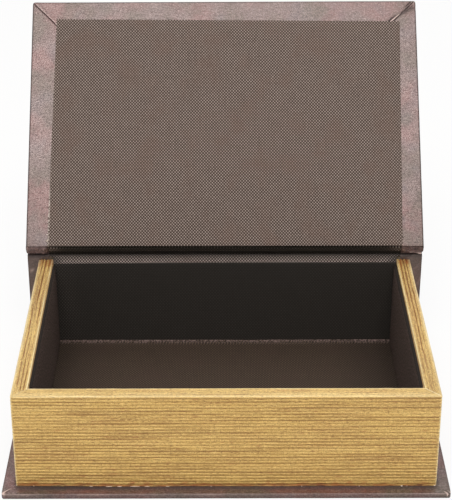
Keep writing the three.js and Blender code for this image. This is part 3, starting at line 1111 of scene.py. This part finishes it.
def ridgeRelief(along, gone, wavy, thin):
    # 0 on a ridge and 1 in a groove: ridges run nearly straight, and some grooves fade out
    drift = 0.12 * wavy * wander(along * 0.02, gone * 0.12, 3.1)
    drift += 0.04 * wavy * wander(along * 0.11, gone * 0.6, 7.7)
    place = gone / pages["pitch"] + drift
    turn = math.cos(2 * math.pi * place)
    each = wander(along * 0.022, math.floor(place) * 7.31, 1.3)
    strength = min(max(0.76 + 0.6 * each, 0.3), 1.1)
    second = max(wander(along * 0.03, math.floor(place + 0.5) * 5.17, 9.1), 0)
    fine = wander(along * 0.1, gone * 2.1, 5.2)
    main = (0.5 - 0.5 * turn) ** thin * strength
    return min(max(main + 0.8 * (0.5 + 0.5 * turn) ** 4 * second + 0.2 * fine, 0), 1)


def pageSurface(way, profile, reached, length, mitred, rimBold):
    # how deep the surface is sunk at a place, and its masks
    inset, height, out, up, gone = profile
    isFront = all(mitred)
    onTop = ramp(up, 0.2, 0.9)
    fromBack = min(99 if mitred[0] else reached, 99 if mitred[1] else length - reached)
    fromEnd = min(reached if mitred[0] else 99, length - reached if mitred[1] else 99)
    atBack = ramp(-fromBack, -24, -3)
    relief = ridgeRelief(way, gone, 1 + 2.2 * onTop, 1.3 + (1.0 if isFront else 2.2) * onTop)
    relief *= 1 + 0.7 * onTop * wander(way * 0.22, gone * 1.3, 4.4)
    bold = rimBold if isFront else rimBold * (0.8 + 0.6 * ramp(-fromBack, -110, -5))
    relief *= 1 + (bold - 1) * onTop
    if not isFront:
        middle = 0.5 + 0.6 * bump(inset, 4.6, 2.4)
        relief *= 1 + (middle - 1) * onTop * (1 - atBack)
        relief += 0.07 * onTop
    # the rim's outer edge, its lip and the strip's corners are smoothed and carry pale lines,
    # partly rubbed wear and partly painted highlight
    edge = 0.6 * bump(inset, 0.5, 0.6) * bump(height, book["rim"] - 0.1, 0.5)
    lip = 0.75 * bump(inset, book["rimWidth"] - 0.35, 0.5) * min(up + 0.3, 1)
    corner = bump(fromEnd, 0, 0.5) * max(out, 0)
    relief *= 1 - 0.75 * max(edge, lip, corner)
    if out == 1:
        relief = max(relief, 0.9 * bump(height, pages["topGroove"], 0.4))
    patchy = 0.75 + 0.7 * wander(way * 0.05, gone, 8)
    wearAndHighlight = max(edge * (0.6 if isFront else 1), lip * 0.9, corner * 0.9) * patchy
    if up > 0.9 and fromEnd < 3:
        relief = max(relief, 0.25 * bump(fromEnd, 0.0, 0.22))
        atSeam = 0.85 * bump(fromEnd, 0, 0.3) if way > 0 else 0
        wearAndHighlight = max(wearAndHighlight, 0.25 * bump(fromEnd, 0.5, 0.3), atSeam)
    ragged = max(0.5 + wander(way * 0.25, gone * 0.4, 5), 0.1)
    low = pages["foot"] - height
    foot = 0.6 * ramp(low, -4.0 * ragged - 0.8, -0.4) + 0.4 * ramp(low, -0.9 * ragged - 0.2, 0.3)
    streaks = 0.6 + 0.8 * wander(way * 0.1, gone * 1.6, 12)
    back = streaks * ramp(-fromBack, -7 - 9 * ragged, -0.3)
    return relief, {
        "groove": relief,
        # painted highlight on the ridge crests, fainter on the rims' tops and stronger near the
        # side strips' back ends
        "ridgeHighlight": max(1 - relief * 2.2, 0) * (1 - 0.6 * onTop + 1.6 * atBack),
        "top": onTop,
        "far": 0 if isFront else onTop * ramp(-fromBack, -110, -15),
        "wearAndHighlight": min(wearAndHighlight, 1),
        "stain": min(max(foot, back), 1),
        # painted sheen on the outer part of the rim's top, mostly on the front strip
        "paintedSheen": onTop * ramp(-inset, -5.2, -2.6) * (1 if isFront else 0.2),
    }


def pageStrip(length, frontAt, mitred, rimBold):
    # Along the strip goes from 0 to length on its outside. frontAt turns the way along into the
    # way round the block, so that ridges meet at the corners.
    profile = pageProfile()
    steps = [sum(pages["endSteps"][:i]) for i in range(len(pages["endSteps"]) + 1)]
    middle = length - 2 * steps[-1]
    count = round(middle / pages["column"])
    columns = steps + [steps[-1] + middle * i / count for i in range(1, count)]
    columns += [length - x for x in reversed(steps)]
    bm = bmesh.new()
    column, row = gridPoints(bm, len(columns), len(profile))
    layers = masksOn(bm, *pageMasks)
    along = bm.loops.layers.uv.new("along")
    own, across = ("frontLean", "sideLean") if all(mitred) else ("sideLean", "frontLean")

    def ends(inset):
        return (inset if mitred[0] else 0, length - (inset if mitred[1] else 0))

    for vert in bm.verts:
        inset, height, out, up, gone = profile[vert[row]]
        reached = columns[vert[column]]
        way = frontAt(reached)
        relief, masks = pageSurface(way, profile[vert[row]], reached, length, mitred, rimBold)
        for name, layer in zip(pageMasks, layers):
            vert[layer] = masks[name]
        sunk = relief * pages["depth"]
        low, high = ends(inset + sunk * max(out, 0))
        uneven = pages["ragged"] * (relief + 0.5 * abs(wander(gone * 0.8, 2, 6)))
        lean = leanAt(height, across, way)
        low += -lean if mitred[0] else uneven
        high += lean if mitred[1] else -uneven
        outward = leanAt(height, own, way) * max(out, 0)
        x = low + (high - low) * reached / length
        vert.co = (x, inset + sunk * out - outward, height - sunk * up)

    def innerOf(vert):
        inset, height, *_ = profile[vert[row]]
        inset = max(inset, pages["thick"])
        low, high = ends(inset)
        x = low + (high - low) * columns[vert[column]] / length
        return Vector((x, inset, min(height, book["rim"] - pages["thick"])))

    closeBehind(bm, innerOf, True)
    for face in bm.faces:
        for loop in face.loops:
            way = frontAt(columns[loop.vert[column]])
            loop[along].uv = (way * mm, profile[loop.vert[row]][4] * mm)
    return bm


def spreadOut(x, y, z):
    # how far a point near the rim moves out: all along the left side, but at the right side's front
    upwards = 1 - min(max((book["rim"] - z) / (book["rim"] - pages["foot"]), 0), 1)
    upwards *= min(abs(x) / book["pageHalf"], 1) ** 4
    if x < 0:
        return -pages["spreadLeft"] * upwards
    return pages["spreadRight"] * upwards * ramp(-y, -70, 60)


def roundPlan(bm):
    # rounds the block's two upright front corners, after the strip is in place
    radius = pages["cornerRound"]
    for vert in bm.verts:
        side = 1 if vert.co.x > 0 else -1
        wide = book["pageHalf"] + leanAt(vert.co.z, "sideLean", vert.co.x)
        front = book["pageFront"] - leanAt(vert.co.z, "frontLean", vert.co.x)
        centre = Vector((side * (wide - radius), front + radius))
        away = vert.co.xy - centre
        if away.x * side > 0 and away.y < 0 and away.length > radius:
            vert.co.xy = centre + away.normalized() * radius


glue = {
    "onLid": (-107.3, -3.6, 0.36, 1.2),  # across, along, size and how long, beside the cloth
    "onLidTurn": 0.8,
    # across, out from the page edge, size and how long
    "spots": [
        (94.3, 0.2, 0.42, 1.3), (112.0, -0.1, 0.5, 1.1), (97.2, 0.15, 0.22, 1.2),
        (71.5, 0.1, 0.2, 1.6), (40.6, 0.15, 0.25, 1.0), (-8.2, 0.1, 0.2, 1.5),
        (-103.4, 0.1, 0.22, 1.2), (-63.0, 0.1, 0.2, 9), (-57.3, 0.12, 0.24, 5),
        (-49.0, 0.1, 0.2, 13), (-42.5, 0.1, 0.17, 8), (-72.5, 0.08, 0.16, 6),
        (-31.5, 0.08, 0.15, 7),
    ],
}


def glueBead(bm, place, size, longer, turn=0.0):
    stretch = Matrix.Diagonal((size * longer, size * 0.8, size * 0.7, 1))
    made = bmesh.ops.create_icosphere(
        bm, subdivisions=3, radius=1,
        matrix=Matrix.Translation(place) @ Matrix.Rotation(turn, 4, "Z") @ stretch,
    )["verts"]
    for vert in made:
        vert.co += vert.co.normalized() * size * 0.2 * noise.noise(vert.co * 2.1)


def glueSpecks():
    # beads of glue that were squeezed out at the block's foot
    bm = bmesh.new()
    for x, out, size, longer in glue["spots"]:
        y = book["pageFront"] - leanAt(pages["foot"], "frontLean", x) - out
        glueBead(bm, (x, y, book["coverThick"] + size * 0.35), size, longer)
    return bm


def addPageEdges():
    half, front, end = book["pageHalf"], book["pageFront"], book["pageEnd"]
    depth = end - front
    sides = {
        # length, where the strip's start is round the block, its place, turn and mitred ends
        "front": (2 * half, -half, (-half, front, 0), 0, (True, True), pages["frontRim"]),
        "right": (depth, half, (half, front, 0), 90, (True, False), pages["sideRim"]),
        "left": (depth, -half - depth, (-half, end, 0), -90, (False, True), pages["sideRim"]),
    }
    for side, (length, start, place, turn, mitred, rimBold) in sides.items():
        bm = pageStrip(length, lambda at: at + start, mitred, rimBold)
        onBlock = Matrix.Translation(place) @ turned(turn, "Z")
        bmesh.ops.transform(bm, matrix=onBlock, verts=bm.verts)
        roundPlan(bm)
        for vert in bm.verts:
            vert.co.x += spreadOut(*vert.co)
        finishPiece(
            side + "_pages", bm, unmoved, "gild", "box", [side + "_page_edge"], 50
        )
    finishPiece("glue_specks", glueSpecks(), unmoved, "glue", "box", [])


addPageEdges()

linings = {
    "cloth": 0.4,
    "edgeRound": 0.35,
    "lidHalf": 107.25,
    "lidDepth": 145.9,
    "lidRows": 60,
    "lidShift": 2.42,     # how far the cloth leans to the right at the lid's front
    "lidSlope": 0.007,
    "foldHalf": 106.8,
    "waver": 0.06,
    "overhang": 0.45,     # how far it hangs over the lid's lower edge
    "foldEnd": -0.6,      # height at which its fold ends, from the lid's outside
    "wearAndLight": 0.15,         # how much of the pale frayed edge is left towards the lid's front
    "spineShade": 0.57,   # how dark the back cloth is where it meets the spine
    "bareTop": 0.3,       # how far over the rim the back cloth's top lies
    "slope": 30,          # how steeply it rises over the back wall, in degrees
    "slopeBend": 0.4,
    "backStep": 1.2,
    "stretch": 1.13,      # its weave is drawn out over the wall's top
    "paintedShadeEdge": 0.9,      # how much further back the front edge of its painted shade reaches at the right
    "cardCell": 3.0,
    "crown": 0.28,
    "paintedClothLight": 0.8,          # painted light on the side cards, laid on in pale tufts
    "underLip": 0.9,      # how much further out a side card's outside reaches at its top
    "lipLift": 0.15,
    "lipRise": 1.9,       # how far the floor's cloth rolls up along the back wall
    "lipLines": (2.6, 2.1, 1.6, 1.1, 0.7, 0.35),
    # how strong the painted highlight is on the floor cloth's rolled-up back edge
    "lipPale": 1.5,
}

looseEnds = {
    "thick": 0.17,
    "parts": 6,
    "seed": 11,
    "spots": [
        # across, along, length and heading on the lid
        (-107.3, -3.2, 1.5, 200), (-107.2, -4.4, 1.1, 150), (-107.3, -7.5, 0.8, 185),
        (-107.1, -15.0, 0.7, 170), (-106.9, -24.0, 0.9, 205), (-104.9, -143.6, 1.3, 140),
        (-104.9, -144.6, 0.8, 190), (109.3, -139.5, 0.6, 10), (107.2, -5.5, 0.8, -15),
    ],
}

lidInside = -book["coverThick"] - book["glueLine"]


def lidCloth():
    # the lid's cloth and its fold over the lid's lower edge, in the lid's own frame
    cloth, count, half = linings["cloth"], linings["lidRows"], linings["lidHalf"]
    face = lidInside - cloth
    end = -wrap["jointGap"] - cloth + linings["overhang"]
    # share of the way to the lower edge, height, place along and how far round the fold
    rows = [(i / count, end, face, 0.0) for i in range(count + 1)]
    for i in range(1, 4):
        turn = math.pi / 2 * i / 3
        rows.append((1, end + cloth * math.sin(turn), face + cloth - cloth * math.cos(turn), i / 3))
    for i in range(1, 7):
        back = linings["overhang"] * ramp(i / 6, 0, 0.8)
        down = (linings["foldEnd"] - face - cloth) * i / 6
        rows.append((1, end + cloth - back, face + cloth + down, 2))
    columns = [x / half for x in spread(half, 0.4, (103.8, 106))]
    bm = bmesh.new()
    column, row = gridPoints(bm, len(columns), len(rows))
    frayAndPaintedLight, shaded = masksOn(bm, "frayAndPaintedLight", "shaded")

    def flatPlace(vert):
        share, y, z, fold = rows[vert[row]]
        across = columns[vert[column]]
        x = across * (half + (linings["foldHalf"] - half) * min(fold, 1))
        x += linings["lidShift"] * (1 - share)
        if share < 1:
            front = -linings["lidDepth"] + x * linings["lidSlope"]
            y = front + (end - front) * share
        return x, y, z, across, share, fold

    for vert in bm.verts:
        x, y, z, across, share, fold = flatPlace(vert)
        if fold == 0:
            fromEdge = min(half * (1 - abs(across)), share * linings["lidDepth"])
            z += 0.22 * (1 - ramp(fromEdge, 0, 0.5))
            z -= abs(linings["waver"] * wander(x * 0.06, y * 0.06, 2))
        vert.co = (x, y, z)
        wearAndLight = linings["wearAndLight"] + (1 - linings["wearAndLight"]) * ramp(share, 0.68, 0.85)
        vert[frayAndPaintedLight] = bump(half * (1 + across), 0.1, 0.45) * wearAndLight
        vert[shaded] = ramp(fold, 0, 0.9)

    def innerOf(vert):
        x, y, z, _, _, fold = flatPlace(vert)
        if fold == 0:
            return Vector((x, y, face + cloth))
        return Vector((x, min(y - cloth, end), max(z, face + cloth)))

    def threads(vert, _):
        x, y, z, _, _, fold = flatPlace(vert)
        return x, y if fold == 0 else y + z - face

    closeBehind(bm, innerOf)
    threadMap(bm, threads)
    return bm


def looseThreads():
    # a few ends of thread that stand off the cloth's edges
    bm = bmesh.new()
    chance = random.Random(looseEnds["seed"])
    height = lidInside - linings["cloth"] - 0.02
    parts = looseEnds["parts"]
    for x, y, length, heading in looseEnds["spots"]:
        turn = math.radians(heading)
        lift = chance.uniform(-0.3, 0.1)
        bend = chance.uniform(-0.5, 0.5)
        ring = bmesh.ops.create_circle(
            bm, segments=8, radius=looseEnds["thick"], cap_ends=True,
            matrix=Matrix.Translation((x, y, height)) @ turned(heading + 90, "Z") @ turned(90, "X"),
        )["verts"]
        cap = ring[0].link_faces[0]
        for i in range(parts):
            step = Vector((math.cos(turn), math.sin(turn), lift)) * length / parts
            made = bmesh.ops.extrude_face_region(bm, geom=[cap])["geom"]
            verts = [part for part in made if isinstance(part, bmesh.types.BMVert)]
            if i:
                bmesh.ops.delete(bm, geom=[cap], context="FACES_ONLY")
            cap = next(part for part in made if isinstance(part, bmesh.types.BMFace))
            bmesh.ops.translate(bm, verts=verts, vec=step)
            bmesh.ops.rotate(
                bm, verts=verts, cent=cap.calc_center_median(),
                matrix=Matrix.Rotation(bend, 3, "Z"),
            )
            turn += bend
            bend *= 0.8
    bmesh.ops.recalc_face_normals(bm, faces=bm.faces[:])
    (frayAndPaintedLight,) = masksOn(bm, "frayAndPaintedLight")
    for vert in bm.verts:
        vert[frayAndPaintedLight] = 4
    threadMap(bm, lambda vert, face: (vert.co.x, vert.co.y))
    return bm


def backPath(low, high, wallTop):
    # up the back wall, over its top, up the spine and over the spine's edge
    bend, slopeBend = linings["edgeRound"], linings["slopeBend"]
    slope = math.radians(linings["slope"])
    rise = high.z - wallTop
    level = book["pageEnd"] - linings["cloth"] - low.y - bend - rise / math.tan(slope)
    path = bentPath(
        (low.y, low.z), 90,
        [
            (wallTop - low.z - bend, 0), (bend * math.pi / 2, -90), (level, 0),
            (slopeBend, linings["slope"]), (rise / math.sin(slope) - slopeBend, 0),
            (slopeBend, -linings["slope"]),
        ],
        linings["backStep"],
    )
    path = [point for point in path if point[0] < high.y - 0.01]
    y, z, heading, gone = path[-1]
    return path + [(high.y, z, heading, gone + high.y - y)]


def backCloth():
    low, high = (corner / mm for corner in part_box("back_lining"))
    wallTop = book["rim"] + linings["bareTop"]
    path = backPath(low, high, wallTop)

    def outerOf(x, gone):
        return -0.05 * abs(wander(x * 0.07, gone * 0.15, 6))

    columns = spread(high.x, 0.3)
    bm, column, row = band(path, columns, outerOf, lambda x, gone: linings["cloth"] - 0.06)
    (shaded,) = masksOn(bm, "shaded")
    bend = linings["edgeRound"]
    corner = wallTop - low.z - bend + bend * math.pi / 4
    for vert in bm.verts:
        _, z, _, gone = path[vert[row]]
        x = columns[vert[column]]
        edgeAt = corner - 0.3 + linings["paintedShadeEdge"] * ramp(x, -105, 60)
        wall = (1 - ramp(gone, edgeAt, edgeAt + 0.5)) * (1 - 0.06 * ramp(-x, 84, 100))
        spine = linings["spineShade"] * ramp(z, wallTop + 0.1, high.z)
        ends = 0.7 * ramp(abs(x), 97, 102) * ramp(z, wallTop - 0.4, wallTop)
        vert[shaded] = max(wall, spine, ends)
    widen = joint["clothHalf"] / high.x - 1
    for vert in bm.verts:
        vert.co.x *= 1 + widen * ramp(vert.co.y, book["pageEnd"] - 0.7, book["pageEnd"] - 0.15)
    threadMap(bm, lambda vert, face: (vert.co.x, path[vert[row]][3] / linings["stretch"]))
    return bm, path[-1][3]


def cardShell(low, size, soft, faceAxis):
    # a rounded card with points enough to crown it
    bm = bmesh.new()
    bmesh.ops.create_cube(bm, size=1)
    bmesh.ops.scale(bm, verts=bm.verts, vec=size)
    bmesh.ops.translate(bm, verts=bm.verts, vec=low + size / 2)
    bevelEdges(bm, bm.edges[:], min(size) * 0.3 * (1 + soft), 3)
    cell = linings["cardCell"]
    for axis in range(3):
        if axis != faceAxis:
            count = math.ceil(size[axis] / cell)
            cutAcross(bm, axis, [low[axis] + i * cell for i in range(1, count)])
    if faceAxis == 2:
        cutAcross(bm, 1, [low.y + size.y - inset for inset in linings["lipLines"]])
    bmesh.ops.remove_doubles(bm, verts=bm.verts, dist=2e-3)
    bmesh.ops.dissolve_degenerate(bm, edges=bm.edges, dist=2e-3)
    bm.normal_update()
    return bm


def linedCard(node, faceAxis, faceSide, soft):
    # a card wrapped in cloth: rounded all round and crowned on the side that shows
    low, high = (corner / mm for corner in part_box(node))
    size = high - low
    isFloor = faceAxis == 2
    crown = linings["crown"] * soft
    axes = [axis for axis in range(3) if axis != faceAxis]
    bm = cardShell(low, size, soft, faceAxis)
    for vert in bm.verts:
        if vert.normal[faceAxis] * faceSide < 0.5:
            continue
        if isFloor:
            wave = 1 + 0.15 * wander(vert.co.x * 0.03, 0, 7)
            vert.co.z += linings["lipRise"] * wave * ramp(vert.co.y, high.y - 2.6, high.y - 0.4)
        first, second = ((vert.co[axis] - low[axis]) / size[axis] * 2 - 1 for axis in axes)
        sunk = crown * (1 - (1 - first ** 8) * (1 - second ** 8))
        ripple = 0.07 * noise.noise(vert.co * 0.05)
        vert.co[faceAxis] += faceSide * (min(ripple, 0) - sunk)
    if faceAxis == 0:
        # the side cards lean out with the rims and reach under their lips
        middle = (low.x + high.x) / 2
        for vert in bm.verts:
            beyond = max((middle - vert.co.x) * faceSide, 0) * ramp(vert.co.z, 40, 56)
            vert.co.x += spreadOut(*vert.co) - faceSide * linings["underLip"] * beyond
            vert.co.z += linings["lipLift"] * ramp(vert.co.z, high.z - 1.5, high.z - 0.8)
    bm.normal_update()
    shaded, paintedClothLight = masksOn(bm, "shaded", "frayAndPaintedLight")
    for vert in bm.verts:
        x, y, z = vert.co
        if isFloor:
            # painted highlight along the floor cloth's rolled-up back edge, uneven along it
            wearAndLight = 0.8 + 0.6 * wander(x * 0.05, 0, 4)
            vert[paintedClothLight] = linings["lipPale"] * wearAndLight * ramp(y, high.y - 2.2, high.y - 0.7)
            sides = 0.22 * ramp(abs(x), 60, 98) + 0.12 * ramp(x, 55, 90)
            vert[shaded] = sides + 0.12 * ramp(y, -60, 20)
        else:
            top = ramp(z, high.z - 0.9, high.z - 0.3)
            vert[shaded] = 0.9 * top
            # painted light on the side card's face, below its top
            vert[paintedClothLight] = linings["paintedClothLight"] * (1 - top)

    def threads(vert, face):
        main = max(range(3), key=lambda axis: abs(face.normal[axis]))
        first, second = [axis for axis in range(3) if axis != main]
        return vert.co[first], vert.co[second]

    threadMap(bm, threads)
    return bm


def addLidLining():
    cloth = finishPiece(
        "lid_cloth", lidCloth(), lidPlace, "lidCloth", "lid", ["lid_lining"]
    )
    threads = finishPiece(
        "loose_threads", looseThreads(), lidPlace, "lidCloth", "lid", []
    )
    x, y, size, longer = glue["onLid"]
    bm = bmesh.new()
    glueBead(bm, (x, y, lidInside), size, longer, glue["onLidTurn"])
    finishPiece("lid_glue_speck", bm, lidPlace, "glue", "lid", [])


def addInnerLinings():
    bm, length = backCloth()
    cloth = finishPiece(
        "back_cloth", bm, unmoved, "backCloth", "box", ["back_lining"]
    )
    length * mm
    # each card's side, the axis it faces along, which way, and how soft it is
    for side, axis, facing, soft in (
        ("floor", 2, 1, 0.0), ("front", 1, 1, 1.0), ("left", 0, 1, 1.0), ("right", 0, -1, 1.0),
    ):
        node = side + "_lining"
        bm = linedCard(node, axis, facing, soft)
        card = finishPiece(
            side + "_card", bm, unmoved, "innerCloth", "box", [node]
        )


addLidLining()
addInnerLinings()


def dressNodes(names, finish):
    # the coverings hide boards and walls, which keep their CAD shapes
    for name in names:
        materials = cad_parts[name].data.materials
        materials.clear()
        materials.append(finishes[finish])


dressNodes(("base_board", "spine_board", "lid_board"), "coverBoard")
dressNodes(("front_wall", "left_wall", "right_wall", "back_wall"), "wallBoard")
print("hidden boards and walls given their finish")
